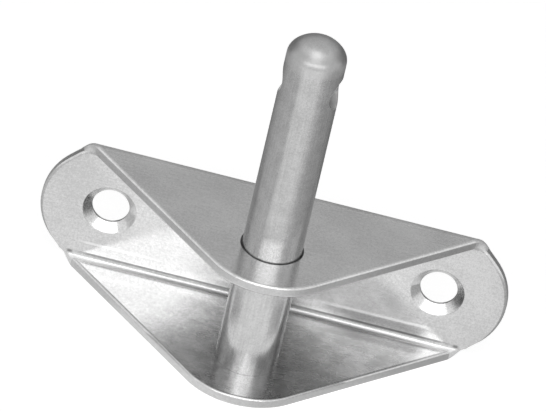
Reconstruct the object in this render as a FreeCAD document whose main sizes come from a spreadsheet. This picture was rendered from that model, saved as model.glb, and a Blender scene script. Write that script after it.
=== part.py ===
"""Rudder pintle: a folded stainless bracket and the round pin that stands through both of its flanges.

Frame, in millimetres: the origin is where the pin's axis meets the top flange's upper face, +Z runs
up the pin, +X runs to the right along the web and +Y points to the web's back face, which lies on
the rudder or transom. The flanges reach forwards, to -Y, and the bottom flange is flat underneath.
"""
import FreeCAD, Part
import Sketcher
import math
import os

# Driving dimensions: name, value, what it measures. Lengths in millimetres, angles in degrees.
DRIVING = [
    ("sheet_thickness", 1.5, "thickness of the folded sheet"),
    ("bend_inner_radius", 0.6, "inside radius of both folds"),
    ("bracket_height", 19.5, "outside height over both flanges"),
    ("pin_offset", 15.0, "web's back face to the pin's axis"),
    ("screw_spacing", 44.5, "centre to centre of the two screw holes"),
    ("ear_radius", 9.25, "radius of each ear, round its screw hole"),
    ("apex_radius", 9.5, "radius of each flange's tip, round the pin"),
    ("edge_rounding", 0.4, "radius that polishing leaves along the sheet's outline"),
    ("screw_hole_diameter", 5.0, "clear hole for a fastening screw"),
    ("countersink_diameter", 7.2, "mouth of the countersink"),
    ("countersink_angle", 90.0, "included angle of the countersink"),
    ("pin_diameter", 8.0, "diameter of the pin's free length, on which a gudgeon turns"),
    ("pin_stand", 33.15, "pin's top above the top flange"),
    ("pin_dome_radius", 4.6, "spherical radius of the pin's upper end"),
    ("pin_rim_rounding", 2.0, "rounding where the dome meets the pin's side"),
    ("pin_end_chamfer", 0.4, "chamfer at the pin's lower end"),
    ("held_step", 0.16, "how much thicker the pin is, all round, where the flanges hold it"),
    ("held_depth", 0.15, "top flange's upper face down to the end of the free length"),
    ("pin_hole_chamfer", 0.1, "broken upper edge of the top flange's pin hole"),
    ("ring_hole_diameter", 4.5, "cross hole for the retaining ring"),
    ("ring_hole_drop", 7.15, "pin's top down to the cross hole's axis"),
    ("ring_hole_turn", -8.0, "turn of the cross hole about the pin, from +X"),
]

# Worked-out dimensions. The flat blank is four round corners, one on each screw hole and one on each
# pin hole, joined by straight edges tangent to them. Each straight edge runs across a fold. Where an
# ear is so large that its arc reaches the fold, the straight edge starts at the arc's end instead.
DERIVED = [
    ("bend_outer_radius", "=bend_inner_radius + sheet_thickness"),
    ("bend_neutral_radius", "=bend_inner_radius + sheet_thickness / 2"),
    ("bend_length", "=bend_neutral_radius * pi / 2"),
    ("web_half_height", "=bracket_height / 2 - bend_outer_radius"),
    ("flange_reach", "=pin_offset - bend_outer_radius"),
    ("hole_offset", "=screw_spacing / 2"),
    ("blank_reach", "=web_half_height + bend_length + flange_reach"),
    ("centre_distance", "=sqrt(hole_offset ^ 2 + blank_reach ^ 2)"),
    ("edge_angle", "=atan2(hole_offset; blank_reach)"
                   " + asin((ear_radius - apex_radius) / centre_distance)"),
    ("edge_distance", "=hole_offset * cos(edge_angle) + ear_radius"),
    ("edge_start", "=ear_radius * sin(edge_angle)"),
    ("fold_web_x", "=edge_start < web_half_height"
                   " ? (edge_distance - web_half_height * sin(edge_angle)) / cos(edge_angle)"
                   " : hole_offset + sqrt(ear_radius ^ 2 - web_half_height ^ 2)"),
    ("fold_far_height", "=web_half_height + bend_length"),
    ("fold_flange_x", "=(edge_distance - fold_far_height * sin(edge_angle)) / cos(edge_angle)"),
    ("helix_pitch", "=4 * (fold_web_x - fold_flange_x)"),
    ("pin_radius", "=pin_diameter / 2"),
    ("rim_offset", "=pin_radius - pin_rim_rounding"),
    ("dome_height", "=pin_stand - pin_dome_radius"),
    ("rim_height", "=dome_height + sqrt((pin_dome_radius - pin_rim_rounding) ^ 2 - rim_offset ^ 2)"),
    ("held_radius", "=pin_radius + held_step"),
    ("shoulder_depth", "=held_depth + held_step"),
    ("ring_hole_height", "=pin_stand - ring_hole_drop"),
    ("trim_margin", "=2 * sheet_thickness"),
]

RIGHT_ANGLE = 90
FULL_ANGLE = 360
X_AXIS = FreeCAD.Vector(1, 0, 0)
Y_AXIS = FreeCAD.Vector(0, 1, 0)
Z_AXIS = FreeCAD.Vector(0, 0, 1)
TOLERANCE = 1e-6


def make_sheet(doc):
    """Spreadsheet of all sizes: driving ones as numbers, the others as formulas on their aliases."""
    sheet = doc.addObject("Spreadsheet::Sheet", "Sizes")
    rows = [(name, str(number), note) for name, number, note in DRIVING]
    rows += [(name, formula, "worked out") for name, formula in DERIVED]
    for row, (name, content, note) in enumerate(rows, start=1):
        sheet.set(f"A{row}", name)
        sheet.set(f"B{row}", content)
        sheet.set(f"C{row}", note)
        sheet.setAlias(f"B{row}", name)
    doc.recompute()
    return sheet


def size(sheet, name):
    """A size of the sheet as a plain number."""
    return float(getattr(sheet, name))


def origin_plane(body, role):
    """One of the body's own origin planes."""
    return next(feature for feature in body.Origin.OriginFeatures if feature.Role == role)


def attach(item, body, role, **offset):
    """Puts a sketch or plane on one of the body's origin planes, moved along the plane's own axes."""
    item.AttachmentSupport = (origin_plane(body, role), [""])
    item.MapMode = "FlatFace"
    for axis, formula in offset.items():
        item.setExpression(f".AttachmentOffset.Base.{axis}", formula)


def new_sketch(body, name, role, **offset):
    """Empty sketch on an origin plane of the body."""
    sketch = body.newObject("Sketcher::SketchObject", name)
    attach(sketch, body, role, **offset)
    return sketch


def bind(sketch, formula, *constraint):
    """Adds a dimension to the sketch and ties it to a formula on the sheet."""
    index = sketch.addConstraint(Sketcher.Constraint(*constraint))
    sketch.setExpression(f"Constraints[{index}]", formula)


def add_lines(sketch, *points):
    """Straight edges from each point to the next, joined end to start."""
    lines = [sketch.addGeometry(Part.LineSegment(start, end)) for start, end in zip(points, points[1:])]
    for line, following in zip(lines, lines[1:]):
        sketch.addConstraint(Sketcher.Constraint("Coincident", line, 2, following, 1))
    return lines


def add_box(sketch, low, high, low_x, high_x, low_y, high_y):
    """Rectangle between two corners, with its sides placed by formulas; a low_x of None is the Y axis."""
    corners = [low, FreeCAD.Vector(high.x, low.y, 0), high, FreeCAD.Vector(low.x, high.y, 0), low]
    bottom, right, top, left = add_lines(sketch, *corners)
    sketch.addConstraint(Sketcher.Constraint("Coincident", left, 2, bottom, 1))
    for line in (bottom, top):
        sketch.addConstraint(Sketcher.Constraint("Horizontal", line))
    for line in (right, left):
        sketch.addConstraint(Sketcher.Constraint("Vertical", line))
    if low_x is None:
        sketch.addConstraint(Sketcher.Constraint("PointOnObject", bottom, 1, -2))
    else:
        bind(sketch, low_x, "DistanceX", -1, 1, bottom, 1, low.x)
    bind(sketch, high_x, "DistanceX", -1, 1, bottom, 2, high.x)
    bind(sketch, low_y, "DistanceY", -1, 1, bottom, 1, low.y)
    bind(sketch, high_y, "DistanceY", -1, 1, top, 1, high.y)


def add_centred_circle(sketch, radius, formula):
    """Circle round the sketch's origin, with its radius from the sheet."""
    circle = sketch.addGeometry(Part.Circle(FreeCAD.Vector(), Z_AXIS, radius))
    sketch.addConstraint(Sketcher.Constraint("Coincident", circle, 3, -1, 1))
    bind(sketch, formula, "Radius", circle, radius)


def web_sketch(body, name):
    """Empty sketch on the web's back face, with its origin at the middle of the web's height."""
    return new_sketch(body, name, "XZ_Plane", y="-Sizes.bracket_height / 2", z="-Sizes.pin_offset")


def web_quarter(body, sheet):
    """Upper right quarter of the blank: half an ear, then the straight edge to the fold's far side."""
    sketch = web_sketch(body, "web_outline")
    centre = size(sheet, "hole_offset")
    radius = size(sheet, "ear_radius")
    turn = math.radians(size(sheet, "edge_angle"))
    top = size(sheet, "fold_far_height")
    far_end = FreeCAD.Vector(size(sheet, "fold_flange_x"), top, 0)
    tangent = FreeCAD.Vector(centre + radius * math.cos(turn), radius * math.sin(turn), 0)
    edge, far_side, middle, base = add_lines(
        sketch, tangent, far_end, FreeCAD.Vector(0, top, 0), FreeCAD.Vector(),
        FreeCAD.Vector(centre + radius, 0, 0),
    )
    circle = Part.Circle(FreeCAD.Vector(centre, 0, 0), Z_AXIS, radius)
    ear = sketch.addGeometry(Part.ArcOfCircle(circle, 0, turn))
    sketch.addConstraint(Sketcher.Constraint("Coincident", base, 2, ear, 1))
    sketch.addConstraint(Sketcher.Constraint("Tangent", ear, 2, edge, 1))
    sketch.addConstraint(Sketcher.Constraint("Coincident", middle, 2, -1, 1))
    sketch.addConstraint(Sketcher.Constraint("Horizontal", far_side))
    sketch.addConstraint(Sketcher.Constraint("Vertical", middle))
    sketch.addConstraint(Sketcher.Constraint("Horizontal", base))
    sketch.addConstraint(Sketcher.Constraint("PointOnObject", ear, 3, -1))
    bind(sketch, "Sizes.ear_radius", "Radius", ear, radius)
    bind(sketch, "Sizes.hole_offset", "DistanceX", -1, 1, ear, 3, centre)
    bind(sketch, "Sizes.fold_flange_x", "DistanceX", far_side, 2, far_side, 1, far_end.x)
    bind(sketch, "Sizes.fold_far_height", "DistanceY", middle, 2, middle, 1, top)
    return sketch


def flange_half(body, sheet):
    """Right half of the top flange: from the fold along the straight edge, then round the tip."""
    sketch = new_sketch(body, "flange_outline", "XY_Plane")
    radius = size(sheet, "apex_radius")
    turn = math.radians(size(sheet, "edge_angle"))
    reach = size(sheet, "flange_reach")
    fold_end = FreeCAD.Vector(size(sheet, "fold_flange_x"), reach, 0)
    tangent = FreeCAD.Vector(radius * math.cos(turn), -radius * math.sin(turn), 0)
    middle, fold, edge = add_lines(
        sketch, FreeCAD.Vector(0, -radius, 0), FreeCAD.Vector(0, reach, 0), fold_end, tangent
    )
    circle = Part.Circle(FreeCAD.Vector(), Z_AXIS, radius)
    tip = sketch.addGeometry(Part.ArcOfCircle(circle, -math.pi / 2, -turn))
    sketch.addConstraint(Sketcher.Constraint("Tangent", edge, 2, tip, 2))
    sketch.addConstraint(Sketcher.Constraint("Coincident", tip, 1, middle, 1))
    sketch.addConstraint(Sketcher.Constraint("Coincident", tip, 3, -1, 1))
    sketch.addConstraint(Sketcher.Constraint("PointOnObject", middle, 1, -2))
    sketch.addConstraint(Sketcher.Constraint("Vertical", middle))
    sketch.addConstraint(Sketcher.Constraint("Horizontal", fold))
    bind(sketch, "Sizes.apex_radius", "Radius", tip, radius)
    bind(sketch, "Sizes.fold_flange_x", "DistanceX", fold, 1, fold, 2, fold_end.x)
    bind(sketch, "Sizes.flange_reach", "DistanceY", -1, 1, middle, 2, reach)
    return sketch


def along(face, kind, axis):
    """True for a face of this kind whose normal or centre line lies along the axis."""
    return face.Surface.TypeId == kind and abs(face.Surface.Axis.dot(axis)) > 1 - TOLERANCE


def outline_edges(shape, skin_kind, skin_axis):
    """Names of the edges between the sheet's two skins and its cut outline.

    The flat ends where a web, fold or flange joins the next belong to neither.
    """
    names = []
    for number, edge in enumerate(shape.Edges, start=1):
        skins = 0
        cuts = 0
        for face in shape.ancestorsOfType(edge, Part.Face):
            if along(face, skin_kind, skin_axis):
                skins += 1
            elif not any(along(face, "Part::GeomPlane", axis) for axis in (Y_AXIS, Z_AXIS)):
                cuts += 1
        if skins and cuts:
            names.append(f"Edge{number}")
    return names


def round_outline(body, feature, skin_kind, skin_axis):
    """Rounds the sheet's outline on both skins of a web, fold or flange."""
    rounding = body.newObject("PartDesign::Fillet", f"{body.Name}_rounding")
    rounding.Base = (feature, outline_edges(feature.Shape, skin_kind, skin_axis))
    rounding.setExpression("Radius", "Sizes.edge_rounding")
    body.Tip = rounding


def mirror_features(body, name, originals, *planes):
    """Repeats features across one plane after another and returns the whole."""
    whole = body.newObject("PartDesign::MultiTransform", f"{name}_mirrored")
    whole.Originals = originals
    steps = []
    for index, plane in enumerate(planes):
        step = body.newObject("PartDesign::Mirrored", f"{name}_mirror_{index}")
        step.MirrorPlane = (plane, [""])
        steps.append(step)
    whole.Transformations = steps
    body.Tip = whole
    body.Document.recompute()
    return whole


def make_web(doc, sheet):
    """Flat web with its two ears, between the two folds."""
    body = doc.addObject("PartDesign::Body", "web")
    pad = body.newObject("PartDesign::Pad", "web_pad")
    pad.Profile = web_quarter(body, sheet)
    pad.setExpression("Length", "Sizes.sheet_thickness")

    # The web ends where the fold begins.
    half = size(sheet, "web_half_height")
    margin = size(sheet, "trim_margin")
    corner = FreeCAD.Vector(size(sheet, "fold_web_x") + margin, size(sheet, "fold_far_height") + margin, 0)
    beyond = web_sketch(body, "beyond_fold")
    add_box(
        beyond, FreeCAD.Vector(0, half, 0), corner, None, "Sizes.fold_web_x + Sizes.trim_margin",
        "Sizes.web_half_height", "Sizes.fold_far_height + Sizes.trim_margin",
    )
    trim = body.newObject("PartDesign::Pocket", "web_trim")
    trim.Profile = beyond
    trim.Midplane = True
    trim.setExpression("Length", "4 * Sizes.sheet_thickness")

    middle = body.newObject("PartDesign::Plane", "web_middle")
    attach(middle, body, "XY_Plane", z="-Sizes.bracket_height / 2")
    doc.recompute()
    whole = mirror_features(body, "web", [pad, trim], origin_plane(body, "YZ_Plane"), middle)
    round_outline(body, whole, "Part::GeomPlane", Y_AXIS)
    return body


def make_flange(doc, sheet):
    """Flat top flange, from the fold to its tip round the pin."""
    body = doc.addObject("PartDesign::Body", "flange")
    pad = body.newObject("PartDesign::Pad", "flange_pad")
    pad.Profile = flange_half(body, sheet)
    pad.setExpression("Length", "Sizes.sheet_thickness")
    pad.Reversed = True
    doc.recompute()
    whole = mirror_features(body, "flange", [pad], origin_plane(body, "YZ_Plane"))
    round_outline(body, whole, "Part::GeomPlane", Z_AXIS)
    return body


def make_fold(doc, sheet):
    """Quarter-round fold between the web and the top flange, ended by the blank's straight edges."""
    body = doc.addObject("PartDesign::Body", "fold")
    inner = size(sheet, "bend_inner_radius")
    outer = size(sheet, "bend_outer_radius")
    web_x = size(sheet, "fold_web_x")
    flange_x = size(sheet, "fold_flange_x")
    margin = size(sheet, "trim_margin")

    # Both sketches lie in the plane where the flange ends, and their X axis is the fold's own axis.
    at_fold = {"y": "-Sizes.bend_outer_radius", "z": "-Sizes.flange_reach"}
    section = new_sketch(body, "fold_section", "XZ_Plane", **at_fold)
    add_box(
        section, FreeCAD.Vector(0, inner, 0), FreeCAD.Vector(web_x, outer, 0),
        None, "Sizes.fold_web_x", "Sizes.bend_inner_radius", "Sizes.bend_outer_radius",
    )
    turn = body.newObject("PartDesign::Revolution", "fold_turn")
    turn.Profile = section
    turn.ReferenceAxis = (section, ["H_Axis"])
    turn.Angle = RIGHT_ANGLE
    turn.Reversed = True

    # The blank's straight edge winds round the fold, so its end is trimmed along a helix.
    trim_section = new_sketch(body, "trim_section", "XZ_Plane", **at_fold)
    corner = FreeCAD.Vector(web_x + margin, outer + margin, 0)
    add_box(
        trim_section, FreeCAD.Vector(flange_x, inner / 2, 0), corner,
        "Sizes.fold_flange_x", "Sizes.fold_web_x + Sizes.trim_margin",
        "Sizes.bend_inner_radius / 2", "Sizes.bend_outer_radius + Sizes.trim_margin",
    )
    trim = body.newObject("PartDesign::SubtractiveHelix", "fold_trim")
    trim.Profile = trim_section
    trim.ReferenceAxis = (trim_section, ["H_Axis"])
    trim.Mode = "pitch-turns-angle"
    trim.setExpression("Pitch", "Sizes.helix_pitch")
    trim.Turns = RIGHT_ANGLE / FULL_ANGLE
    trim.Angle = 0
    trim.LeftHanded = True
    doc.recompute()
    whole = mirror_features(body, "fold", [turn, trim], origin_plane(body, "YZ_Plane"))
    round_outline(body, whole, "Part::GeomCylinder", X_AXIS)
    return body


def mirror_down(doc, body):
    """The same flange or fold below the web's middle."""
    lower = doc.addObject("Part::Mirroring", f"lower_{body.Name}")
    lower.Source = body
    lower.Normal = Z_AXIS
    lower.setExpression(".Base.z", "-Sizes.bracket_height / 2")
    return lower


def circles_of(shape, radius, height):
    """Names of the circular edges of this radius that lie at this height."""
    return [
        f"Edge{number}" for number, edge in enumerate(shape.Edges, start=1)
        if edge.Curve.TypeId == "Part::GeomCircle" and abs(edge.Curve.Radius - radius) < TOLERANCE
        and abs(edge.BoundBox.ZMin - height) < TOLERANCE
    ]


def make_bracket(doc, sheet):
    """Bracket: the folded sheet, drilled for two countersunk screws and for the pin."""
    web = make_web(doc, sheet)
    flange = make_flange(doc, sheet)
    fold = make_fold(doc, sheet)
    folded = doc.addObject("Part::MultiFuse", "folded_sheet")
    folded.Shapes = [web, flange, fold, mirror_down(doc, flange), mirror_down(doc, fold)]
    folded.Refine = True
    doc.recompute()

    body = doc.addObject("PartDesign::Body", "bracket")
    body.Label = "bracket"
    body.BaseFeature = folded
    doc.recompute()

    screws = new_sketch(
        body, "screw_centres", "XZ_Plane",
        y="-Sizes.bracket_height / 2", z="Sizes.sheet_thickness - Sizes.pin_offset",
    )
    offset = size(sheet, "hole_offset")
    radius = size(sheet, "screw_hole_diameter") / 2
    for side in (1, -1):
        hole = screws.addGeometry(Part.Circle(FreeCAD.Vector(side * offset, 0, 0), Z_AXIS, radius))
        screws.addConstraint(Sketcher.Constraint("PointOnObject", hole, 3, -1))
        ends = (-1, 1, hole, 3) if side > 0 else (hole, 3, -1, 1)
        bind(screws, "Sizes.hole_offset", "DistanceX", *ends, offset)
        bind(screws, "Sizes.screw_hole_diameter", "Diameter", hole, 2 * radius)
    doc.recompute()
    drill = body.newObject("PartDesign::Hole", "screw_holes")
    drill.Profile = screws
    doc.recompute()
    drill.ThreadType = "None"
    drill.DepthType = "ThroughAll"
    drill.setExpression("Diameter", "Sizes.screw_hole_diameter")
    drill.HoleCutType = "Countersink"
    drill.setExpression("HoleCutDiameter", "Sizes.countersink_diameter")
    drill.setExpression("HoleCutCountersinkAngle", "Sizes.countersink_angle")

    held_radius = size(sheet, "held_radius")
    pin_circle = new_sketch(body, "pin_circle", "XY_Plane")
    add_centred_circle(pin_circle, held_radius, "Sizes.held_radius")
    pin_holes = body.newObject("PartDesign::Pocket", "pin_holes")
    pin_holes.Profile = pin_circle
    pin_holes.setExpression("Length", "Sizes.bracket_height")
    doc.recompute()

    rim = body.newObject("PartDesign::Chamfer", "pin_hole_rim")
    rim.Base = (pin_holes, circles_of(pin_holes.Shape, held_radius, 0))
    rim.setExpression("Size", "Sizes.pin_hole_chamfer")
    body.Tip = rim
    return body


def make_pin(doc, sheet):
    """Pin: a round bar with a domed upper end, a little thicker where the flanges hold it."""
    body = doc.addObject("PartDesign::Body", "pin")
    body.Label = "pin"
    radius = size(sheet, "pin_radius")
    held_radius = size(sheet, "held_radius")
    chamfer = size(sheet, "pin_end_chamfer")
    top = size(sheet, "pin_stand")
    bottom = -size(sheet, "bracket_height")
    dome_radius = size(sheet, "pin_dome_radius")
    rim_radius = size(sheet, "pin_rim_rounding")
    dome_centre = FreeCAD.Vector(0, size(sheet, "dome_height"), 0)
    rim_centre = FreeCAD.Vector(size(sheet, "rim_offset"), size(sheet, "rim_height"), 0)

    half = new_sketch(body, "pin_half", "XZ_Plane")
    free, shoulder, held, slope, base, middle = add_lines(
        half,
        FreeCAD.Vector(radius, rim_centre.y, 0),
        FreeCAD.Vector(radius, -size(sheet, "held_depth"), 0),
        FreeCAD.Vector(held_radius, -size(sheet, "shoulder_depth"), 0),
        FreeCAD.Vector(held_radius, bottom + chamfer, 0),
        FreeCAD.Vector(held_radius - chamfer, bottom, 0),
        FreeCAD.Vector(0, bottom, 0),
        FreeCAD.Vector(0, top, 0),
    )
    meeting = math.atan2(rim_centre.y - dome_centre.y, rim_centre.x)
    rim_circle = Part.Circle(rim_centre, Z_AXIS, rim_radius)
    rim = half.addGeometry(Part.ArcOfCircle(rim_circle, 0, meeting))
    dome_circle = Part.Circle(dome_centre, Z_AXIS, dome_radius)
    domed = half.addGeometry(Part.ArcOfCircle(dome_circle, meeting, math.pi / 2))
    half.addConstraint(Sketcher.Constraint("Tangent", rim, 1, free, 1))
    half.addConstraint(Sketcher.Constraint("Tangent", domed, 1, rim, 2))
    half.addConstraint(Sketcher.Constraint("Coincident", domed, 2, middle, 2))
    half.addConstraint(Sketcher.Constraint("PointOnObject", domed, 3, -2))
    for line in (free, held, middle):
        half.addConstraint(Sketcher.Constraint("Vertical", line))
    half.addConstraint(Sketcher.Constraint("Horizontal", base))
    half.addConstraint(Sketcher.Constraint("PointOnObject", middle, 1, -2))
    bind(half, "Sizes.pin_dome_radius", "Radius", domed, dome_radius)
    bind(half, "Sizes.pin_rim_rounding", "Radius", rim, rim_radius)
    bind(half, "Sizes.pin_radius", "DistanceX", -1, 1, free, 1, radius)
    bind(half, "Sizes.held_radius", "DistanceX", -1, 1, held, 1, held_radius)
    bind(half, "Sizes.held_depth", "DistanceY", shoulder, 1, -1, 1, size(sheet, "held_depth"))
    bind(half, "Sizes.shoulder_depth", "DistanceY", held, 1, -1, 1, size(sheet, "shoulder_depth"))
    bind(half, "Sizes.pin_stand", "DistanceY", -1, 1, middle, 2, top)
    bind(half, "Sizes.bracket_height", "DistanceY", middle, 1, -1, 1, -bottom)
    bind(half, "Sizes.pin_end_chamfer", "DistanceX", slope, 2, slope, 1, chamfer)
    bind(half, "Sizes.pin_end_chamfer", "DistanceY", slope, 2, slope, 1, chamfer)
    bar = body.newObject("PartDesign::Revolution", "bar")
    bar.Profile = half
    bar.ReferenceAxis = (half, ["V_Axis"])
    bar.Angle = FULL_ANGLE

    ring_circle = new_sketch(body, "ring_circle", "YZ_Plane", y="Sizes.ring_hole_height")
    add_centred_circle(ring_circle, size(sheet, "ring_hole_diameter") / 2, "Sizes.ring_hole_diameter / 2")
    ring_hole = body.newObject("PartDesign::Pocket", "ring_hole")
    ring_hole.Profile = ring_circle
    ring_hole.Midplane = True
    ring_hole.setExpression("Length", "2 * Sizes.pin_diameter")
    body.Tip = ring_hole
    turn = FreeCAD.Rotation(Z_AXIS, size(sheet, "ring_hole_turn"))
    body.Placement = FreeCAD.Placement(FreeCAD.Vector(), turn)
    body.setExpression(".Placement.Rotation.Angle", "Sizes.ring_hole_turn")
    return body


def check(doc, nodes):
    """Stops if any object failed or any finished piece isn't one valid solid."""
    failed = [item.Name for item in doc.Objects if {"Invalid", "Error"} & set(item.State)]
    if failed:
        raise RuntimeError(f"failed objects: {failed}")
    for node in nodes:
        if node.Shape.isNull() or not node.Shape.isValid() or len(node.Shape.Solids) != 1:
            raise RuntimeError(f"{node.Label} is not one valid solid")


def main():
    """Builds the pintle and writes one STEP file for each piece."""
    doc = FreeCAD.newDocument("RudderPintle")
    sheet = make_sheet(doc)
    nodes = [make_bracket(doc, sheet), make_pin(doc, sheet)]
    doc.recompute()
    check(doc, nodes)
    os.makedirs("parts", exist_ok=True)
    for node in nodes:
        node.Shape.exportStep(f"parts/{node.Label}.step")
        print(node.Label, round(node.Shape.Volume, 2))


main()
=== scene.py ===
"""Studio scene of the rudder pintle: polished sheet bracket and drawn pin on a plain white table.

Lengths are in metres in the part's own frame. The origin is where the pin's axis meets the top
flange's upper face, +Z runs up the pin, +X along the web, and +Y towards the web's back face.
"""

import logging
import math
from dataclasses import dataclass, field
from enum import Enum
from typing import Any, Mapping, Optional, Sequence, Union

import bpy
import numpy as np
from mathutils import Matrix, Vector

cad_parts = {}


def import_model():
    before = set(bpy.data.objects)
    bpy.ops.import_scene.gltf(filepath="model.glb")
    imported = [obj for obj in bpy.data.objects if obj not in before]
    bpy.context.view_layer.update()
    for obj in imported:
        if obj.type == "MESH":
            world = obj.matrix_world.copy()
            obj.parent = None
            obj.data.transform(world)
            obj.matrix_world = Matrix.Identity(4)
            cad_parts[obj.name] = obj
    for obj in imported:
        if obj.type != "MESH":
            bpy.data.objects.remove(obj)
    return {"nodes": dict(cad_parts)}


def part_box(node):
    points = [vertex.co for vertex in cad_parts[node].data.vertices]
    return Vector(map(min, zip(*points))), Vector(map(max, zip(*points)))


LOG = logging.getLogger("rudder_pintle")
MM = 0.001

Number = Union[int, float]
Value = Union["Wire", Number, Sequence[Number]]
Pair = tuple[float, float]
Colour = tuple[float, float, float, float]


class Sum(Enum):
    """Operations of a Math node that the finishes use."""

    ADD = "ADD"
    SUBTRACT = "SUBTRACT"
    MULTIPLY = "MULTIPLY"
    DIVIDE = "DIVIDE"
    ABSOLUTE = "ABSOLUTE"
    SQRT = "SQRT"
    MAXIMUM = "MAXIMUM"
    SINE = "SINE"
    ARCTAN2 = "ARCTAN2"


class Grain(Enum):
    """Direction in which a surface was drawn or polished: how much finer it is along X, Y and Z."""

    ALONG_X = (0.06, 1.0, 1.0)
    ALONG_Z = (1.0, 1.0, 0.05)
    EVEN = (1.0, 1.0, 1.0)


class Grade(Enum):
    """What a studio card's greys change with: the azimuth in degrees, or X in metres.

    The value is the range of it that the greys are spread over.
    """

    AROUND = 360.0
    ALONG_X = 0.068


def grey(level: float) -> Colour:
    """Opaque grey, from 0 for black to 1 for white."""
    return (level, level, level, 1.0)


def shifted(pair: Pair, by: float) -> Pair:
    """Both ends of a pair, moved by this length."""
    return (by + pair[0], by + pair[1])


class Wire:
    """A node's output on which sums are written as plain expressions. Each adds a Math node."""

    def __init__(self, graph: "Graph", socket: bpy.types.NodeSocket) -> None:
        """Wraps a socket of a graph.

        Args:
            graph: the node graph that holds the socket.
            socket: the output socket.
        """
        self.graph = graph
        self.socket = socket

    def __add__(self, other: Value) -> "Wire":
        """This plus other."""
        return self.graph.sum(Sum.ADD, self, other)

    def __radd__(self, other: Value) -> "Wire":
        """Other plus this."""
        return self.graph.sum(Sum.ADD, other, self)

    def __sub__(self, other: Value) -> "Wire":
        """This minus other."""
        return self.graph.sum(Sum.SUBTRACT, self, other)

    def __rsub__(self, other: Value) -> "Wire":
        """Other minus this."""
        return self.graph.sum(Sum.SUBTRACT, other, self)

    def __mul__(self, other: Value) -> "Wire":
        """This times other."""
        return self.graph.sum(Sum.MULTIPLY, self, other)

    def __rmul__(self, other: Value) -> "Wire":
        """Other times this."""
        return self.graph.sum(Sum.MULTIPLY, other, self)

    def __truediv__(self, other: Value) -> "Wire":
        """This divided by other."""
        return self.graph.sum(Sum.DIVIDE, self, other)

    def __rtruediv__(self, other: Value) -> "Wire":
        """Other divided by this."""
        return self.graph.sum(Sum.DIVIDE, other, self)

    def __abs__(self) -> "Wire":
        """Size of this without its sign."""
        return self.graph.sum(Sum.ABSOLUTE, self)


@dataclass(frozen=True)
class Place:
    """Where a shader is on a surface, or which way it faces there: the vector and its parts."""

    vector: Wire
    x: Wire
    y: Wire
    z: Wire


@dataclass(frozen=True)
class Tint:
    """A grey laid over a finish: the share that covers where its mask is 1, and its level."""

    share: float
    level: float


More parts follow.
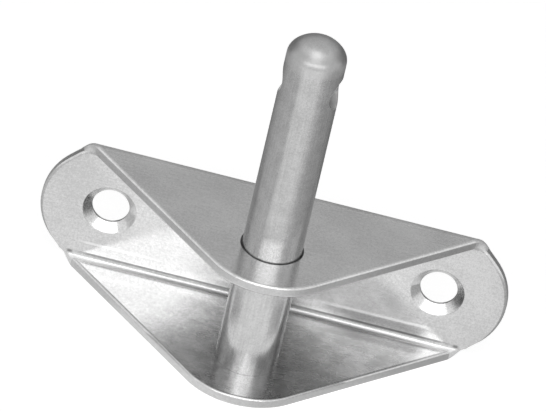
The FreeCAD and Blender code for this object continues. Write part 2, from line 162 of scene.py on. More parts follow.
class Graph:
    """Node tree of one material or of the world."""

    def __init__(self, tree: bpy.types.NodeTree) -> None:
        """Takes over a node tree and empties it.

        Args:
            tree: the tree that the nodes go into.
        """
        self.tree = tree
        self.tree.nodes.clear()

    @staticmethod
    def find(
        sockets: bpy.types.bpy_prop_collection, key: Union[str, int]
    ) -> bpy.types.NodeSocket:
        """Socket by position, identifier or name.

        Args:
            sockets: a node's inputs or outputs.
            key: the position, or the identifier or name.

        Returns:
            The first socket that fits.
        """
        if isinstance(key, int):
            return sockets[key]
        named = [item for item in sockets if item.identifier == key]
        return named[0] if named else sockets[key]

    def node(
        self,
        kind: str,
        settings: Optional[Mapping[str, Any]] = None,
        inputs: Optional[Mapping[Union[str, int], Value]] = None,
        stops: Sequence[Pair] = (),
    ) -> bpy.types.Node:
        """Adds one node: its settings come first, then its socket values and links.

        Args:
            kind: the node's type.
            settings: properties of the node, such as an operation.
            inputs: a value or a Wire for each named socket.
            stops: position and grey level of each stop, on a colour ramp.

        Returns:
            The new node.
        """
        made = self.tree.nodes.new(kind)
        for name, value in (settings or {}).items():
            setattr(made, name, value)
        if stops:
            elements = made.color_ramp.elements
            while len(elements) < len(stops):
                elements.new(1.0)
            for element, (position, level) in zip(elements, stops):
                element.position = position
                element.color = grey(level)
        for key, value in (inputs or {}).items():
            socket = self.find(made.inputs, key)
            if isinstance(value, Wire):
                self.tree.links.new(value.socket, socket)
            else:
                socket.default_value = value
        return made

    def wire(self, kind: str, output: Union[str, int] = 0, **parts: Any) -> Wire:
        """Adds one node and gives one of its outputs.

        Args:
            kind: the node's type.
            output: the output's position, identifier or name.
            **parts: settings, inputs and stops, as node() takes them.

        Returns:
            The output as a Wire.
        """
        return Wire(self, self.find(self.node(kind, **parts).outputs, output))

    def sum(self, operation: Sum, *terms: Value) -> Wire:
        """Adds a Math node.

        Args:
            operation: what the node does.
            *terms: one or two values or Wires.

        Returns:
            The result.
        """
        settings = {"operation": operation.value}
        return self.wire("ShaderNodeMath", settings=settings, inputs=dict(enumerate(terms)))

    def distance(self, first: Wire, second: Wire) -> Wire:
        """Distance over two square directions: sqrt(first^2 + second^2)."""
        return self.sum(Sum.SQRT, first * first + second * second)

    def rings(self, distance: Wire, pitch: float) -> Wire:
        """Ridges of this pitch, as turning leaves them: half of 1 + sin(2 pi distance / pitch)."""
        return self.sum(Sum.SINE, distance * (2 * math.pi / pitch)) * 0.5 + 0.5

    def rise(
        self, wire: Wire, low: float, high: float, bottom: float = 0.0, top: float = 1.0
    ) -> Wire:
        """Smooth step: bottom where wire is under low, top where it is over high.

        Args:
            wire: what is measured.
            low: where the step starts.
            high: where the step ends.
            bottom: result before the step.
            top: result after the step.

        Returns:
            The stepped value.
        """
        inputs = {
            "Value": wire, "From Min": low, "From Max": high, "To Min": bottom, "To Max": top
        }
        settings = {"interpolation_type": "SMOOTHSTEP"}
        return self.wire("ShaderNodeMapRange", settings=settings, inputs=inputs)

    def fall(self, wire: Wire, low: float, high: float) -> Wire:
        """Smooth step down: 1 where wire is under low, 0 where it is over high."""
        return self.rise(wire, low, high, 1.0, 0.0)

    def band(self, wire: Wire, middle: float, half: float, soft: float) -> Wire:
        """1 within half of the middle, and down to 0 over the soft margin outside it."""
        return self.fall(abs(wire - middle), half, half + soft)

    def mix(self, factor: Value, first: Value, second: Value) -> Wire:
        """Colour between two colours.

        Args:
            factor: 0 gives the first, 1 the second.
            first: the first colour.
            second: the second colour.

        Returns:
            The mixed colour.
        """
        settings = {"data_type": "RGBA", "clamp_factor": True}
        inputs = {"Factor_Float": factor, "A_Color": first, "B_Color": second}
        return self.wire("ShaderNodeMix", "Result_Color", settings=settings, inputs=inputs)

    def tint(self, colour: Wire, mask: Wire, tint: Tint) -> Wire:
        """Colour with a tint laid over it where the mask is 1."""
        return self.mix(mask * tint.share, colour, grey(tint.level))

    def place(self, output: str) -> Place:
        """Object coordinates or the surface's own normal.

        Args:
            output: the name of the Texture Coordinate node's output, "Object" or "Normal".

        Returns:
            The vector and its parts.
        """
        vector = self.wire("ShaderNodeTexCoord", output)
        parts = self.node("ShaderNodeSeparateXYZ", inputs={0: vector})
        return Place(vector, *(Wire(self, parts.outputs[axis]) for axis in "XYZ"))

    def noise(
        self,
        vector: Wire,
        scale: float,
        grain: Grain = Grain.EVEN,
        detail: float = 3.0,
        rough: float = 0.55,
    ) -> Wire:
        """Noise of about this many features to the metre across the grain, from 0 to 1.

        Args:
            vector: the coordinates.
            scale: features to the metre.
            grain: direction in which the features are drawn out.
            detail: octaves.
            rough: weight of the finer octaves.

        Returns:
            The noise.
        """
        stretch = [scale * share for share in grain.value]
        drawn = self.wire("ShaderNodeMapping", inputs={"Vector": vector, "Scale": stretch})
        inputs = {"Vector": drawn, "Scale": 1.0, "Detail": detail, "Roughness": rough}
        return self.wire("ShaderNodeTexNoise", "Fac", inputs=inputs)

    def bump(self, height: Wire, distance: float) -> Wire:
        """Normal that a height map gives, where 1 stands this many metres above 0."""
        return self.wire("ShaderNodeBump", inputs={"Height": height, "Distance": distance})

    def lean(self, normal: Wire, upwards: Wire) -> Wire:
        """Normal leaned towards +Z by this slope.

        Args:
            normal: the normal to start from.
            upwards: the slope, where 0.1 is about six degrees.

        Returns:
            The leaned normal, of unit length.
        """
        kind = "ShaderNodeVectorMath"
        step = self.wire("ShaderNodeCombineXYZ", inputs={"X": 0.0, "Y": 0.0, "Z": upwards})
        leaned = self.wire(kind, settings={"operation": "ADD"}, inputs={0: normal, 1: step})
        return self.wire(kind, settings={"operation": "NORMALIZE"}, inputs={0: leaned})


def new_material(name: str) -> tuple[bpy.types.Material, Graph]:
    """Makes a material.

    Args:
        name: the material's name.

    Returns:
        The material and its empty graph.
    """
    material = bpy.data.materials.new(name)
    material.use_nodes = True
    return material, Graph(material.node_tree)


@dataclass(frozen=True)
class Steel:
    """Polished stainless steel: its greys, its sheen and the grain that polishing left.

    The scales are features to the metre. The tones are where the grey turns from shade to light.
    """

    name: str
    light: float
    shade: float
    tones: Pair
    roughness: float
    roughness_spread: float
    grain: Grain
    grain_height: float
    cloud_scale: float
    cloud_detail: float
    grain_scale: float = 4200.0
    speck_scale: float = 4200.0

    def texture(self, graph: Graph, vector: Wire) -> tuple[Wire, Wire, Wire]:
        """Marks of the surface that are everywhere on it, each from 0 to 1.

        Args:
            graph: the material's graph.
            vector: the coordinates.

        Returns:
            The drawn-out grain, the even specks and the wide clouds.
        """
        grain = graph.noise(vector, self.grain_scale, self.grain)
        speck = graph.noise(vector, self.speck_scale, detail=2.0, rough=0.7)
        cloud = graph.noise(vector, self.cloud_scale, detail=self.cloud_detail)
        return grain, speck, cloud

    def colour(self, graph: Graph, tone: Wire) -> Wire:
        """Base colour before marks, from the shade's grey to the light one's by tone."""
        return graph.mix(graph.rise(tone, *self.tones), grey(self.shade), grey(self.light))

    def sheen(self, cloud: Wire, grain: Wire) -> Wire:
        """Roughness before marks, a little uneven with the clouds and the grain."""
        uneven = self.roughness + (cloud - 0.5) * self.roughness_spread
        return uneven + (grain - 0.5) * self.roughness_spread

    def shade_metal(self, graph: Graph, colour: Wire, roughness: Wire, normal: Wire) -> None:
        """Joins colour, roughness and normal to a metal shader and to the output.

        Args:
            graph: the material's graph.
            colour: base colour over the surface.
            roughness: roughness over the surface.
            normal: normal over the surface.
        """
        inputs = {
            "Base Color": colour, "Roughness": roughness, "Metallic": 1.0, "Normal": normal
        }
        shader = graph.wire("ShaderNodeBsdfPrincipled", inputs=inputs)
        graph.node("ShaderNodeOutputMaterial", inputs={"Surface": shader})


@dataclass(frozen=True)
class SmudgesAndReflection:
    """Dull smudge marks that handling left on the sheet, and painted dark reflection near the pin.

    Pairs are the lengths between which it comes or goes. On the lower flange it ends towards the
    web, and has one part right of the pin and a weaker one left of it, which is painted dark
    reflection rising towards the pin. The web has one thumb's mark, above the die's line.
    """

    patch_scale: float = 420.0
    patch_tones: Pair = (0.3, 0.65)
    skin: float = 0.05 * MM
    skin_soft: float = 0.1 * MM
    flange_back: Pair = (9.5 * MM, 12.5 * MM)
    right_start: Pair = (-1.0 * MM, 4.5 * MM)
    right_end: Pair = (19.0 * MM, 24.0 * MM)
    right_patchy: float = 0.25
    left_start: Pair = (-14.0 * MM, -3.0 * MM)
    left_levels: Pair = (0.15, 0.9)
    left_end: Pair = (-1.0 * MM, 0.0)
    left_patchy: float = 0.5
    web_start: Pair = (1.0 * MM, 6.0 * MM)
    thumb_right: float = 15.0 * MM
    thumb_below: float = 3.0 * MM
    thumb_reach: Pair = (1.0 * MM, 4.0 * MM)
    thumb_strength: float = 0.35
    thumb_patchy: float = 0.7
    above_mark: Pair = (0.3 * MM, 1.5 * MM)


@dataclass(frozen=True)
class DieMarks:
    """Marks along the lower fold on the web's front: the die's, and painted shade and highlight.

    Pairs are the lengths between which a mark comes or goes, along X or in height from the die's
    line. From that line to the fold the web is pressed a little out of true, right of the pin. A
    band of painted shade of the pin lies there too, near the pin, and the nicks are beside the
    ears.
    The crease carries a band of painted shade, and the raised rim by the die's line a painted
    highlight.
    """

    skin: float = 0.03 * MM
    lower: Pair = (-1.0 * MM, 0.0)
    ear: Pair = (23.5 * MM, 26.0 * MM)
    right_start: Pair = (5.0 * MM, 13.0 * MM)
    right_end: Pair = (20.0 * MM, 23.5 * MM)
    left_end: Pair = (-20.0 * MM, -12.0 * MM)
    press_step: float = 0.2 * MM
    press_slope: float = 0.13
    crease_above: float = 0.14 * MM
    crease_half: float = 0.10 * MM
    ridge_above: float = 0.2 * MM
    ridge_half: float = 0.1 * MM
    ridge_soft: float = 0.15 * MM
    pin_shade_start: Pair = (0.2 * MM, 0.9 * MM)
    pin_shade_end: Pair = (4.5 * MM, 10.0 * MM)
    pin_shade_share: float = 0.55
    nick_right: float = 26.2 * MM
    nick_wide: Pair = (0.1 * MM, 0.5 * MM)
    nick_high: Pair = (0.05 * MM, 0.35 * MM)
    nick_share: float = 0.8


@dataclass(frozen=True)
class DieMasks:
    """Masks of the marks along the lower fold.

    The lower half, its length inside the ears, the pressed band, painted shade in the crease, a
    painted highlight on the raised rim, and the pin's painted shade with the nicks.
    """

    lower: Wire
    inside: Wire
    pressed: Wire
    crease_shade: Wire
    ridge_highlight: Wire
    pin_shade_and_nicks: Wire


@dataclass
class Piece:
    """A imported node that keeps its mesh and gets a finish."""

    node: str
    slot: str

    def material(self) -> bpy.types.Material:
        """Finish of the piece, which each kind of piece makes for itself."""
        raise NotImplementedError

    def dress(self, nodes: Mapping[str, bpy.types.Object]) -> str:
        """Puts the piece's finish into every slot of its node.

        Args:
            nodes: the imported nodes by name.

        Returns:
            What was done, for the log.
        """
        packed = nodes[self.node]
        material = self.material()
        for slot in packed.material_slots:
            slot.material = material
        return f"{packed.name}: {len(packed.data.polygons)} faces, {material.name}"


@dataclass
class Bracket(Piece):
    """The folded sheet: web with two ears, two flanges and the folds between them.

    Heights are measured from the web's middle, as `up`, or as `level` without its sign. The pairs
    of the folds are lengths past fold_start and fold_line, between which the fold comes.
    """

    node: str = "bracket"
    slot: str = "bracket_sheet"
    sheet: float = 1.5 * MM
    height: float = 19.5 * MM
    back: float = 15.0 * MM
    fold_outer: float = 2.1 * MM
    screw_offset: float = 22.25 * MM
    screw_mouth: float = 3.6 * MM
    screw_rim: float = 0.1 * MM
    screw_turning: float = 0.22 * MM
    flank_slope: float = 0.25
    pin_hole: float = 4.26 * MM
    pin_hole_rim: float = 0.08 * MM
    die_mark: float = 3.75 * MM
    fold_deep: Pair = (-0.6 * MM, 0.4 * MM)
    fold_high: Pair = (-0.4 * MM, 0.5 * MM)
    hollow_high: Pair = (0.30 * MM, 0.45 * MM)
    darker_right_start: Pair = (-4.0 * MM, 6.0 * MM)
    edge_margin: float = 0.02 * MM
    edge_facing: Pair = (0.2, 0.5)
    fleck_scale: float = 2000.0
    streak_scale: float = 1500.0
    finish: Steel = Steel(
        name="polished_sheet_steel",
        light=0.745,
        shade=0.585,
        tones=(0.38, 0.62),
        roughness=0.20,
        roughness_spread=0.08,
        grain=Grain.ALONG_X,
        grain_height=0.8e-6,
        cloud_scale=130.0,
        cloud_detail=2.0,
    )
    smudges_and_reflection: SmudgesAndReflection = SmudgesAndReflection()
    marks: DieMarks = DieMarks()
    smudge_and_reflection_tint: Tint = Tint(0.72, 0.16)
    edge_tint: Tint = Tint(1.0, 0.22)
    press_tint: Tint = Tint(0.25, 0.30)
    pin_shade_and_nick_tint: Tint = Tint(1.0, 0.16)
    crease_shade_tint: Tint = Tint(0.8, 0.12)
    hollow_highlight_tint: Tint = Tint(0.9, 0.95)
    ridge_highlight_tint: Tint = Tint(0.8, 0.90)
    crevice_shade_tint: Tint = Tint(0.4, 0.12)

    @property
    def web_front(self) -> float:
        """Y of the web's front face."""
        return self.back - self.sheet

    @property
    def fold_start(self) -> float:
        """Y at which the flanges' flat part ends and the folds begin."""
        return self.back - self.fold_outer

    @property
    def fold_line(self) -> float:
        """Level at which the web's flat part ends and the folds begin."""
        return self.height / 2 - self.fold_outer

    @property
    def mark_line(self) -> float:
        """Level at which the die left its line."""
        return self.height / 2 - self.die_mark

    def cut_edge(self, graph: Graph, y: Wire, level: Wire) -> Wire:
        """1 on the sheet's cut edge and 0 on its two skins, by which way the surface faces.

        A skin faces along Z on a flange, along Y on the web, and square to X in a fold.

        Args:
            graph: the material's graph.
            y: distance in front of or behind the pin's axis.
            level: height from the web's middle, without its sign.

        Returns:
            The mask.
        """
        facing = graph.place("Normal")
        on_flange = graph.fall(y, self.fold_start - self.edge_margin, self.fold_start)
        on_web = graph.fall(level, self.fold_line, self.fold_line + self.edge_margin)
        folded = 1 - graph.sum(Sum.MAXIMUM, on_flange, on_web)
        skin = abs(facing.z) * on_flange + abs(facing.y) * on_web * (1 - on_flange)
        skin = skin + (1 - facing.x * facing.x) * folded
        return graph.fall(skin, *self.edge_facing)

    def smudge_and_dark_reflection(self, graph: Graph, at: Place, up: Wire) -> Wire:
        """Lower flange: smudge marks and painted dark reflection; web right of the pin: a smudge.

        Args:
            graph: the material's graph.
            at: the place on the sheet.
            up: height above the web's middle.

        Returns:
            The mask, 0 where there is neither smudge nor painted reflection.
        """
        mark_sizes = self.smudges_and_reflection
        patch = graph.noise(at.vector, mark_sizes.patch_scale, detail=4.0, rough=0.65)
        mottle = graph.rise(patch, *mark_sizes.patch_tones)

        def patchy(share: float) -> Wire:
            """1 in the patches, and less by this share between them."""
            return mottle * share + (1 - share)

        floor = self.sheet - self.height / 2
        low = graph.band(up, floor, mark_sizes.skin, mark_sizes.skin_soft)
        low = low * graph.fall(at.y, *mark_sizes.flange_back)
        right = graph.rise(at.x, *mark_sizes.right_start) * graph.fall(at.x, *mark_sizes.right_end)
        # Left of the pin the mark is painted dark reflection, rising towards the pin.
        left = graph.rise(at.x, *mark_sizes.left_start, *mark_sizes.left_levels)
        left = left * graph.fall(at.x, *mark_sizes.left_end)
        on_flange = low * (right * patchy(mark_sizes.right_patchy) + left * patchy(mark_sizes.left_patchy))

        web = graph.band(at.y, self.web_front, mark_sizes.skin, mark_sizes.skin_soft)
        web = web * graph.rise(at.x, *mark_sizes.web_start)
        from_thumb = graph.distance(at.x - mark_sizes.thumb_right, up + mark_sizes.thumb_below)
        thumb = graph.rise(from_thumb, *mark_sizes.thumb_reach, mark_sizes.thumb_strength, 0.0)
        thumb = thumb * patchy(mark_sizes.thumb_patchy)
        on_web = web * thumb * graph.rise(up, *shifted(mark_sizes.above_mark, -self.mark_line))
        return on_flange + on_web

    def die_marks(self, graph: Graph, at: Place, up: Wire, level: Wire) -> DieMasks:
        """Pressed band, painted shade and highlight, and nicks along the lower fold.

        Args:
            graph: the material's graph.
            at: the place on the sheet.
            up: height above the web's middle.
            level: the same without its sign.

        Returns:
            The masks.
        """
        marks = self.marks
        beside = abs(at.x)
        on_web = graph.band(at.y, self.web_front, marks.skin, marks.skin)
        lower = graph.fall(up, *marks.lower)
        inside = graph.fall(beside, *marks.ear) * lower
        right = graph.rise(at.x, *marks.right_start) * graph.fall(at.x, *marks.right_end)
        right = right * inside * on_web
        left = graph.fall(at.x, *marks.left_end) * inside * on_web

        line = self.mark_line
        pressed = graph.rise(level, line, line + marks.press_step) * right
        # Painted shade: a dark band in the crease where the fold starts.
        crease = self.fold_line - marks.crease_above
        crease_shade = graph.band(level, crease, marks.crease_half, marks.crease_half)
        crease_shade = crease_shade * inside * on_web
        # Painted highlight: a light band on the raised rim by the die's line.
        ridge_highlight = graph.band(level, line - marks.ridge_above, marks.ridge_half, marks.ridge_soft)
        ridge_highlight = ridge_highlight * (right + left)

        # Painted shade of the pin: a dark band on the web near the pin, between the die's line and
        # the fold.
        pin_shade = graph.rise(level, *shifted(marks.pin_shade_start, line))
        pin_shade = pin_shade * graph.fall(beside, *marks.pin_shade_end)
        # Dark nicks of the sheet beside the ears.
        nick = graph.band(beside, marks.nick_right, *marks.nick_wide)
        nick = nick * graph.band(level, self.fold_line, *marks.nick_high)
        pin_shade_and_nicks = (pin_shade * marks.pin_shade_share + nick * marks.nick_share) * on_web * lower
        return DieMasks(lower, inside, pressed, crease_shade, ridge_highlight, pin_shade_and_nicks)

    def material(self) -> bpy.types.Material:
        """Polished sheet: grain along the web, die marks, turned countersinks, dull cut edge.

        It also carries painted shade, painted highlights and painted dark reflection.

        Heights for the bump are in units of the finish's grain height.

        Returns:
            The material.
        """
        finish = self.finish
        material, graph = new_material(finish.name)
        at = graph.place("Object")
        up = at.z + self.height / 2
        level = abs(up)
        grain, speck, cloud = finish.texture(graph, at.vector)
        fleck = graph.noise(at.vector, self.fleck_scale, detail=2.0)
        streak = graph.noise(at.vector, self.streak_scale, Grain.ALONG_X, detail=2.0)

        # A countersink is turned, and its flank is a little flatter towards the hole.
        from_screw = graph.distance(abs(at.x) - self.screw_offset, up)
        sunk = graph.fall(from_screw, self.screw_mouth - self.screw_rim, self.screw_mouth)
        turning = graph.rings(from_screw, self.screw_turning)
        flank = (self.screw_mouth - from_screw) * sunk * (self.flank_slope / finish.grain_height)

        from_pin = graph.distance(at.x, at.y)
        # Painted shade: a dark ring on the flange round the pin.
        crevice_shade = graph.fall(from_pin, self.pin_hole - self.pin_hole_rim, self.pin_hole)

        # The folds are drawn by the die, and their concave inner side is rougher. In the lower fold
        # it is also painted lighter, a painted highlight.
        deep = graph.rise(at.y, *shifted(self.fold_deep, self.fold_start))
        fold = deep * graph.rise(level, *shifted(self.fold_high, self.fold_line))
        hollow_rough_and_highlight = deep * graph.rise(level, *shifted(self.hollow_high, self.fold_line))

        edge = self.cut_edge(graph, at.y, level) * (1 - sunk) * (1 - crevice_shade)
        smudge_and_dark_reflection = self.smudge_and_dark_reflection(graph, at, up)
        die = self.die_marks(graph, at, up, level)

        # The lower edges are darker than the upper ones, and most so right of the pin.
        lower_right_darkening = graph.rise(at.x, *self.darker_right_start) * (die.lower * 0.2 + 0.1)
        darkened_edge = edge * (lower_right_darkening + die.lower * 0.1 + 0.25)

        colour = finish.colour(graph, cloud * 0.25 + grain * 0.15 + speck * 0.4 + fleck * 0.2)
        for mask, tint in (
            # smudge marks, and painted dark reflection near the pin
            (smudge_and_dark_reflection, self.smudge_and_reflection_tint),
            (darkened_edge, self.edge_tint),
            (die.pressed, self.press_tint),
            # painted shade of the pin, and the nicks
            (die.pin_shade_and_nicks, self.pin_shade_and_nick_tint),
            # painted shade in the crease
            (die.crease_shade, self.crease_shade_tint),
            # painted highlight in the lower fold
            (hollow_rough_and_highlight * die.inside, self.hollow_highlight_tint),
            # painted highlight on the raised rim
            (die.ridge_highlight, self.ridge_highlight_tint),
            # painted shade round the pin
            (crevice_shade, self.crevice_shade_tint),
        ):
            colour = graph.tint(colour, mask, tint)
        roughness = finish.sheen(cloud, grain) + hollow_rough_and_highlight * 0.3 + smudge_and_dark_reflection * 0.08 + edge * 0.15
        height = grain * (1 - sunk) * 0.6 + speck * 1.2 + turning * sunk * 1.5
        height = height + streak * fold * 3.0 + fleck + cloud * 2.0 + flank
        normal = graph.bump(height, finish.grain_height)
        leaned = graph.lean(normal, die.pressed * self.marks.press_slope)
        finish.shade_metal(graph, colour, roughness, leaned)
        return material


@dataclass
class Pin(Piece):
    """The round bar: domed end, cross hole, and the shoulder under the top flange's face.

    The pairs are lengths between which a mask comes or goes: heights above the dome's start for
    the dome and its flank, and past the bar's radius for the bore.
    """

    node: str = "pin"
    slot: str = "pin_bar"
    radius: float = 4.0 * MM
    dome_start: float = 30.21 * MM
    dome_from: Pair = (-1.4 * MM, -0.2 * MM)
    flank_from: Pair = (0.3 * MM, 0.9 * MM)
    flank_to: Pair = (1.6 * MM, 2.4 * MM)
    bore_to: Pair = (-0.12 * MM, -0.02 * MM)
    dome_turning: float = 0.25 * MM
    crevice_level: float = -0.14 * MM
    crevice_half: float = 0.07 * MM
    crevice_soft: float = 0.03 * MM
    rubbed_level: float = 2.5 * MM
    rubbed_half: float = 2.0 * MM
    rubbed_soft: float = 4.0 * MM
    finish: Steel = Steel(
        name="drawn_bar_steel",
        light=0.545,
        shade=0.425,
        tones=(0.36, 0.64),
        roughness=0.20,
        roughness_spread=0.06,
        grain=Grain.ALONG_Z,
        grain_height=1.0e-6,
        cloud_scale=600.0,
        cloud_detail=3.0,
    )
    dome_reflection_tint: Tint = Tint(0.2, 0.80)
    dome_flank_shade_tint: Tint = Tint(0.6, 0.30)
    bore_tint: Tint = Tint(0.6, 0.85)
    crevice_shade_tint: Tint = Tint(0.45, 0.10)

    def material(self) -> bpy.types.Material:
        """Drawn bar: fine lines, turned dome with painted reflection, painted shade at the flange.

        Heights for the bump are in units of the finish's grain height.

        Returns:
            The material.
        """
        finish = self.finish
        material, graph = new_material(finish.name)
        at = graph.place("Object")
        grain, speck, cloud = finish.texture(graph, at.vector)

        # Painted reflection on the dome: lighter over it, and darker on a band of its flank.
        dome = graph.rise(at.z, *shifted(self.dome_from, self.dome_start))
        flank = graph.rise(at.z, *shifted(self.flank_from, self.dome_start))
        flank = flank * graph.fall(at.z, *shifted(self.flank_to, self.dome_start))
        from_axis = graph.distance(at.x, at.y)
        turning = graph.rings(from_axis, self.dome_turning)
        bore = graph.fall(from_axis, *shifted(self.bore_to, self.radius)) * (1 - dome)
        # Painted shade: a dark line round the pin where it enters the top flange.
        crevice_shade = graph.band(at.z, self.crevice_level, self.crevice_half, self.crevice_soft)
        rubbed = graph.band(at.z, self.rubbed_level, self.rubbed_half, self.rubbed_soft)

        colour = finish.colour(graph, cloud * 0.3 + grain * 0.25 + speck * 0.45)
        for mask, tint in (
            # painted reflection: the dome lighter
            (dome, self.dome_reflection_tint),
            # painted reflection: the dome's flank darker
            (flank, self.dome_flank_shade_tint),
            (bore, self.bore_tint),
            # painted shade where the pin enters the flange
            (crevice_shade, self.crevice_shade_tint),
        ):
            colour = graph.tint(colour, mask, tint)
        roughness = finish.sheen(cloud, grain) + bore * 0.2 + dome * 0.17 + rubbed * 0.06
        height = grain * (1 - dome) * 0.8 + turning * dome * 0.5 + cloud * 2.0 + speck * 1.5
        normal = graph.bump(height, finish.grain_height)
        finish.shade_metal(graph, colour, roughness, normal)
        return material


def surface(name: str, points: np.ndarray) -> bpy.types.Object:
    """Mesh over a grid of points, one four-sided face between each four neighbours.

    Face (i, j) runs over points (i, j), (i + 1, j), (i + 1, j + 1) and (i, j + 1).

    Args:
        name: the object's name.
        points: the grid, rows by columns by three.

    Returns:
        The object, linked to the scene.
    """
    rows, columns = points.shape[:2]
    index = np.arange(rows * columns).reshape(rows, columns)
    corners = [index[:-1, :-1], index[1:, :-1], index[1:, 1:], index[:-1, 1:]]
    faces = np.stack(corners, axis=-1).reshape(-1, 4)
    mesh = bpy.data.meshes.new(name)
    mesh.from_pydata(points.reshape(-1, 3).tolist(), [], faces.tolist())
    mesh.update()
    made = bpy.data.objects.new(name, mesh)
    bpy.context.scene.collection.objects.link(made)
    return made


@dataclass(frozen=True)
class Card:
    """A graded studio card that only reflections see, bent round the pin's axis.

    A point of it lies at azimuth a from the camera's side, at distance r from the axis and at
    height h: (r sin a, -r cos a, h). Along the card's other side r and h run evenly from the
    first pair to the second. Its greys are stops, each an azimuth in degrees, or an X in metres,
    and the grey there.
    """

    name: str
    azimuth: Pair
    first: Pair
    second: Pair
    brightness: float
    greys: tuple[Pair, ...] = ((0.0, 1.0), (360.0, 1.0))
    grade: Grade = Grade.AROUND
    points_around: int = 61
    points_across: int = 9

    def points(self) -> np.ndarray:
        """Works out the card's grid.

        Returns:
            The points, rows round the axis by columns across.
        """
        azimuth = np.radians(np.linspace(*self.azimuth, self.points_around))[:, None]
        reach = np.linspace(self.first[0], self.second[0], self.points_across)[None, :]
        height = np.linspace(self.first[1], self.second[1], self.points_across)[None, :]
        height = height + 0.0 * azimuth
        return np.stack([np.sin(azimuth) * reach, -np.cos(azimuth) * reach, height], axis=-1)

    def material(self) -> bpy.types.Material:
        """Material of the card: it shows its greys and is lit by nothing.

        Returns:
            The material.
        """
        material, graph = new_material(self.name)
        at = graph.place("Object")

        # Share of the full turn, as atan2(-x, y) is the azimuth less half a turn, or of the width.
        if self.grade is Grade.AROUND:
            share = graph.sum(Sum.ARCTAN2, -1 * at.x, at.y) / (2 * math.pi) + 0.5
            stops = [(angle / self.grade.value, level) for angle, level in self.greys]
        else:
            share = at.x / self.grade.value + 0.5
            stops = [(right / self.grade.value + 0.5, level) for right, level in self.greys]
        shown = graph.wire("ShaderNodeValToRGB", inputs={"Fac": share}, stops=stops)
        light = {"Color": shown, "Strength": self.brightness}
        glow = graph.wire("ShaderNodeEmission", inputs=light)
        graph.node("ShaderNodeOutputMaterial", inputs={"Surface": glow})
        return material


@dataclass(frozen=True)
class Softbox:
    """A rectangular lamp that faces the part from an azimuth and an elevation."""

    name: str
    azimuth: float
    elevation: float
    distance: float
    width: float
    height: float
    brightness: float


# The table clears the part's underside by a hair. Mats lie just over it, and strips stand on the
# mats round the part's foot.
TABLE_GAP = 0.02 * MM
MAT_LEVEL = -0.0194
NEAR_MAT_LEVEL = -0.01951
NEAR_REACH = 0.034
FAR_REACH = 0.5
STRIP_REACH = 0.0155
STRIP_TOP = -0.0145

BACK_CARDS = (
    Card("back_card", (108.0, 252.0), (0.470, 0.176), (0.372, 0.340), 0.52),
    Card("high_back_card", (108.0, 252.0), (0.372, 0.340), (0.235, 0.446), 0.68),
    Card("overhead_card", (90.0, 270.0), (0.235, 0.446), (0.04, 0.50), 0.60),
    Card("low_back_card", (112.0, 248.0), (FAR_REACH, -0.017), (FAR_REACH, 0.18), 0.24),
)
MATS = (
    Card(
        "near_mat", (0.0, 360.0), (0.0, NEAR_MAT_LEVEL), (NEAR_REACH, NEAR_MAT_LEVEL), 1.3,
        (
            (-0.026, 0.72), (-0.021, 0.76), (-0.018, 0.90), (-0.008, 0.92),
            (0.008, 0.92), (0.016, 0.90), (0.020, 0.74), (0.025, 0.68),
        ),
        Grade.ALONG_X,
    ),
    Card(
        "right_mat", (32.0, 180.0), (NEAR_REACH, MAT_LEVEL), (FAR_REACH, MAT_LEVEL), 1.0,
        (
            (32.0, 0.98), (44.0, 0.80), (60.0, 0.60), (78.0, 0.52),
            (100.0, 0.46), (125.0, 0.36), (150.0, 0.22), (180.0, 0.20),
        ),
    ),
    Card(
        "left_mat", (180.0, 327.0), (NEAR_REACH, MAT_LEVEL), (FAR_REACH, MAT_LEVEL), 1.0,
        (
            (180.0, 0.20), (210.0, 0.26), (236.0, 0.44), (262.0, 0.62),
            (300.0, 0.70), (319.0, 0.69), (327.0, 1.00),
        ),
    ),
)
STRIPS = (
    Card(
        "right_strip", (48.0, 90.0), (STRIP_REACH, MAT_LEVEL), (STRIP_REACH, STRIP_TOP), 1.0,
        ((48.0, 0.85), (62.0, 0.66), (80.0, 0.55), (96.0, 0.50)),
    ),
    Card(
        "left_strip", (270.0, 312.0), (STRIP_REACH, MAT_LEVEL), (STRIP_REACH, STRIP_TOP), 1.0,
        ((264.0, 0.56), (280.0, 0.60), (298.0, 0.72), (312.0, 0.95)),
    ),
)


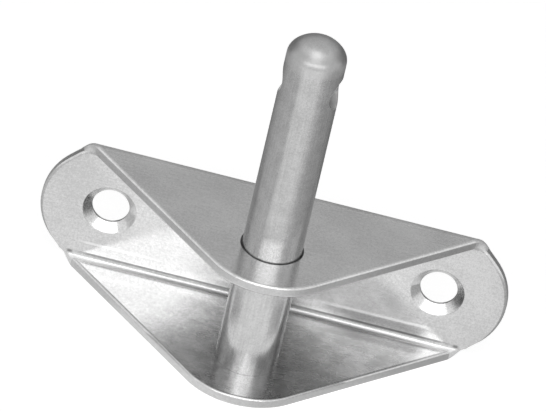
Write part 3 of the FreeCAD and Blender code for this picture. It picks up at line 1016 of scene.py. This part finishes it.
@dataclass
class Studio:
    """White table, white surroundings, soft lamps, and the grey cards that steel mirrors."""

    table_level: float
    table_size: float = 3.0
    table_points: int = 5
    table_white: float = 0.84
    table_grey: float = 0.6
    fill: float = 0.14
    pivot: Vector = field(default_factory=lambda: Vector((0.0, 0.0, 5.0 * MM)))
    cards: Sequence[Card] = BACK_CARDS + MATS + STRIPS
    softboxes: Sequence[Softbox] = (
        Softbox("front_softbox", 2.0, 33.0, 0.6, 0.88, 0.15, 2.1),
        Softbox("top_softbox", 0.0, 70.0, 0.6, 0.32, 0.36, 1.0),
    )

    def reflections_only(self, piece: bpy.types.Object) -> None:
        """Hides a piece from everything but reflections.

        Args:
            piece: the card's object.
        """
        piece.visible_camera = False
        piece.visible_diffuse = False
        piece.visible_shadow = False
        piece.visible_transmission = False

    def direct(self, graph: Graph) -> Wire:
        """Tells rays that show what is seen from rays that only light.

        Args:
            graph: the material's or the world's graph.

        Returns:
            1 for rays from the camera, off polished metal or through glass, and 0 for others.
        """
        path = graph.node("ShaderNodeLightPath")
        camera, glossy, through = (
            Wire(graph, path.outputs[name])
            for name in ("Is Camera Ray", "Is Glossy Ray", "Is Transmission Ray")
        )
        return graph.sum(Sum.MAXIMUM, graph.sum(Sum.MAXIMUM, camera, glossy), through)

    def lay_table(self) -> str:
        """White table: a glow of its own just under white, and the lamps' light and shadow.

        Returns:
            What was made, for the log.
        """
        half = self.table_size / 2
        grid = np.linspace(-half, half, self.table_points)
        x, y = np.meshgrid(grid, grid, indexing="ij")
        table = surface("table", np.stack([x, y, np.full_like(x, self.table_level)], axis=-1))
        material, graph = new_material("white_table")
        glow = graph.wire("ShaderNodeEmission", inputs={"Color": grey(self.table_white)})
        matt = graph.wire("ShaderNodeBsdfDiffuse", inputs={"Color": grey(self.table_grey)})
        seen = graph.wire("ShaderNodeAddShader", inputs={0: glow, 1: matt})
        shaders = {0: self.direct(graph), 1: matt, 2: seen}
        both = graph.wire("ShaderNodeMixShader", inputs=shaders)
        graph.node("ShaderNodeOutputMaterial", inputs={"Surface": both})
        table.data.materials.append(material)
        return f"table at {self.table_level / MM:.2f} mm"

    def surround(self) -> str:
        """White world where it is seen, and a plain soft fill where it only lights.

        Returns:
            What was made, for the log.
        """
        world = bpy.data.worlds.new("studio")
        bpy.context.scene.world = world
        world.use_nodes = True
        graph = Graph(world.node_tree)
        strength = self.fill + (1.0 - self.fill) * self.direct(graph)
        inputs = {"Color": grey(1.0), "Strength": strength}
        light = graph.wire("ShaderNodeBackground", inputs=inputs)
        graph.node("ShaderNodeOutputWorld", inputs={"Surface": light})
        return f"world fill {self.fill:.2f}"

    def place_card(self, card: Card) -> str:
        """Puts one card in its place.

        Args:
            card: what it is and where.

        Returns:
            What was made, for the log.
        """
        piece = surface(card.name, card.points())
        piece.data.materials.append(card.material())
        self.reflections_only(piece)
        return f"{card.name} brightness {card.brightness:.2f}"

    def hang_lamp(self, box: Softbox) -> str:
        """Hangs one soft lamp, turned towards the part.

        Its power is brightness times pi times its area.

        Args:
            box: what it is and where.

        Returns:
            What was made, for the log.
        """
        lamp = bpy.data.lights.new(box.name, "AREA")
        lamp.shape = "RECTANGLE"
        lamp.size = box.width
        lamp.size_y = box.height
        lamp.energy = box.brightness * math.pi * box.width * box.height
        azimuth = math.radians(box.azimuth)
        elevation = math.radians(box.elevation)
        out = Vector((
            math.sin(azimuth) * math.cos(elevation),
            -math.cos(azimuth) * math.cos(elevation),
            math.sin(elevation),
        ))
        holder = bpy.data.objects.new(box.name, lamp)
        turn = out.to_track_quat("Z", "Y").to_matrix().to_4x4()
        holder.matrix_world = Matrix.Translation(self.pivot + out * box.distance) @ turn
        holder.visible_camera = False
        bpy.context.scene.collection.objects.link(holder)
        return f"{box.name} brightness {box.brightness:.2f}"

    def build(self) -> list[str]:
        """Makes the table, the surroundings, the cards and the lamps.

        Returns:
            One line for each, for the log.
        """
        made = [self.lay_table(), self.surround()]
        made += [self.place_card(card) for card in self.cards]
        made += [self.hang_lamp(box) for box in self.softboxes]
        return made


@dataclass
class ViewCamera:
    """Camera at the photograph's viewing angle, with a long lens.

    A point X of the part, level with the origin as the camera sees it, falls on pixel
    (tx + s X.R, ty - s X.U): s is pixels_per_mm, (tx, ty) is origin_pixel, and R and U are the
    picture's right and up, which are the level ones turned by the roll. Angles are in degrees.
    """

    frame: tuple[int, int] = (546, 411)
    yaw: float = 1.40
    elevation: float = 33.57
    roll: float = 13.26
    pixels_per_mm: float = 7.652
    origin_pixel: Pair = (272.20, 246.30)
    distance: float = 2.5
    sensor: float = 36.0
    clip: Pair = (0.1, 40.0)

    def axes(self) -> tuple[Vector, Vector, Vector]:
        """Picture's right, picture's up, and the direction of view.

        Returns:
            The three unit vectors.
        """
        yaw = math.radians(self.yaw)
        elevation = math.radians(self.elevation)
        roll = math.radians(self.roll)
        ahead = Vector((
            -math.sin(yaw) * math.cos(elevation),
            math.cos(yaw) * math.cos(elevation),
            -math.sin(elevation),
        ))
        level = Vector((math.cos(yaw), math.sin(yaw), 0.0))
        upright = level.cross(ahead)
        right = math.cos(roll) * level + math.sin(roll) * upright
        up = math.cos(roll) * upright - math.sin(roll) * level
        return right, up, ahead

    def build(self) -> str:
        """Places the camera and makes it the scene's own.

        Returns:
            What was made, for the log.
        """
        right, up, ahead = self.axes()
        scale = self.pixels_per_mm / MM
        across = (self.frame[0] / 2 - self.origin_pixel[0]) / scale
        down = (self.frame[1] / 2 - self.origin_pixel[1]) / scale
        centre = right * across - up * down
        data = bpy.data.cameras.new("view_camera")
        data.sensor_width = self.sensor
        data.lens = self.sensor * self.distance / (self.frame[0] / scale)
        data.clip_start, data.clip_end = self.clip
        camera = bpy.data.objects.new("view_camera", data)
        turn = Matrix((right, up, -ahead)).transposed().to_4x4()
        camera.matrix_world = Matrix.Translation(centre - ahead * self.distance) @ turn
        bpy.context.scene.collection.objects.link(camera)
        bpy.context.scene.camera = camera
        return f"camera lens {data.lens:.0f} mm"


def main() -> None:
    """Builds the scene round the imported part."""
    logging.basicConfig(level=logging.INFO, format="%(name)s: %(message)s")
    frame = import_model()
    bpy.context.view_layer.update()
    nodes = frame["nodes"]

    bracket = Bracket()
    pin = Pin()
    for line in (bracket.dress(nodes), pin.dress(nodes)):
        LOG.info(line)

    studio = Studio(table_level=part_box(bracket.node)[0].z - TABLE_GAP)
    for line in studio.build():
        LOG.info(line)
    LOG.info(ViewCamera().build())

    scene = bpy.context.scene
    scene.view_settings.view_transform = "Standard"
    bpy.context.view_layer.update()


if __name__ == "__main__":
    main()
